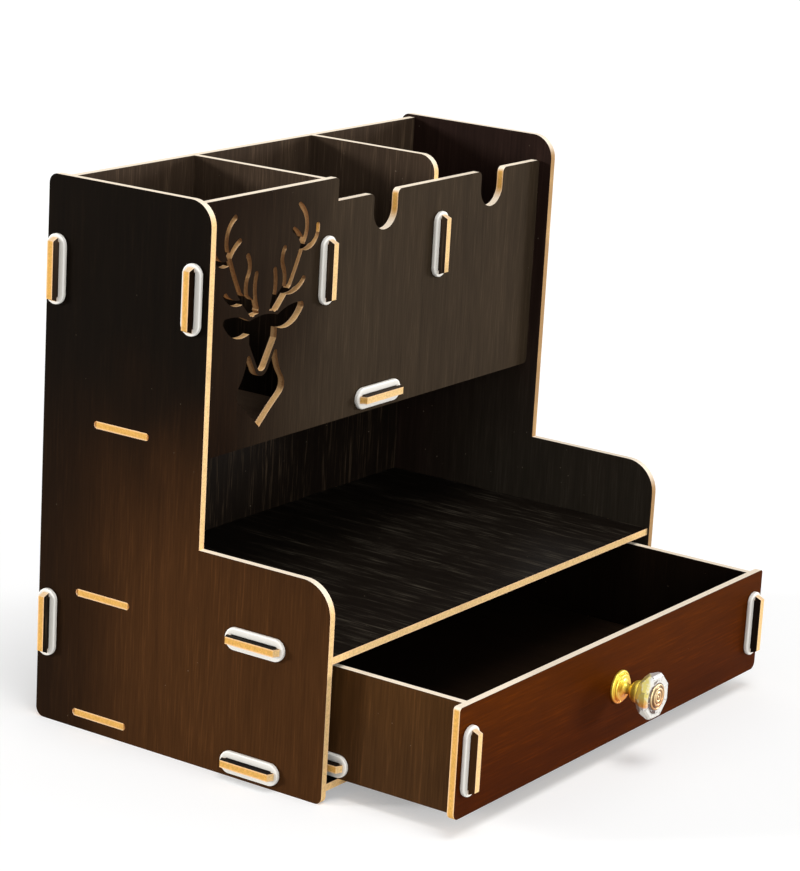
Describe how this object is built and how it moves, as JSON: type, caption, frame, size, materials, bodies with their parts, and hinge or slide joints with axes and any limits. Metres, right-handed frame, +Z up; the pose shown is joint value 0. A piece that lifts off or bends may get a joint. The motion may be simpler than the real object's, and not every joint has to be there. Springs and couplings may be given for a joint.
{
  "type": "desktop shelf",
  "caption": "Dark board desktop shelf with upright compartments over an open bay, a low shelf and a pull-out drawer with a faceted clear knob.",
  "frame": {"origin": "on the surface the shelf stands on, under the centre of the bounding box of the whole object with the drawer pulled out as in the picture", "axes": "+X to the right of someone facing the drawer, +Y towards the back, +Z up"},
  "size_m": [0.255, 0.2216, 0.2255],
  "materials": {
    "board": "dark laminate with bare laser-cut edges",
    "drawer_board": "dark laminate with bare laser-cut edges",
    "ring": "pale satin plastic",
    "knob_metal": "polished",
    "knob_crystal": "clear, faceted",
    "screw": "zinc plated"
  },
  "bodies": {
    "cabinet": {"back_panel": "board", "bottom_plate": "board", "compartment_floor": "board", "divider_left": "board", "divider_right": "board", "front_panel": "board", "left_side_panel": "board", "lock_ring_compartment_floor": "ring", "lock_ring_divider_left": "ring", "lock_ring_divider_right": "ring", "lock_ring_left_back_lower": "ring", "lock_ring_left_back_upper": "ring", "lock_ring_left_bottom": "ring", "lock_ring_left_front_panel": "ring", "lock_ring_left_shelf": "ring", "lock_ring_right_back_lower": "ring", "lock_ring_right_back_upper": "ring", "lock_ring_right_bottom": "ring", "lock_ring_right_front_panel": "ring", "lock_ring_right_shelf": "ring", "middle_shelf": "board", "right_side_panel": "board"},
    "drawer": {"drawer_back": "drawer_board", "drawer_bottom": "drawer_board", "drawer_front": "drawer_board", "drawer_left_side": "drawer_board", "drawer_right_side": "drawer_board", "knob_base": "knob_metal", "knob_cap": "knob_metal", "knob_crystal": "knob_crystal", "knob_screw": "screw", "knob_stem": "knob_metal", "lock_ring_drawer_front_left": "ring", "lock_ring_drawer_front_right": "ring", "lock_ring_drawer_side_left": "ring", "lock_ring_drawer_side_right": "ring"}
  },
  "joints": [
    {"name": "drawer_slide", "type": "slide", "parent": "cabinet", "child": "drawer", "axis": [0, -1, 0], "range_m": [-0.058, 0.032]}
  ]
}
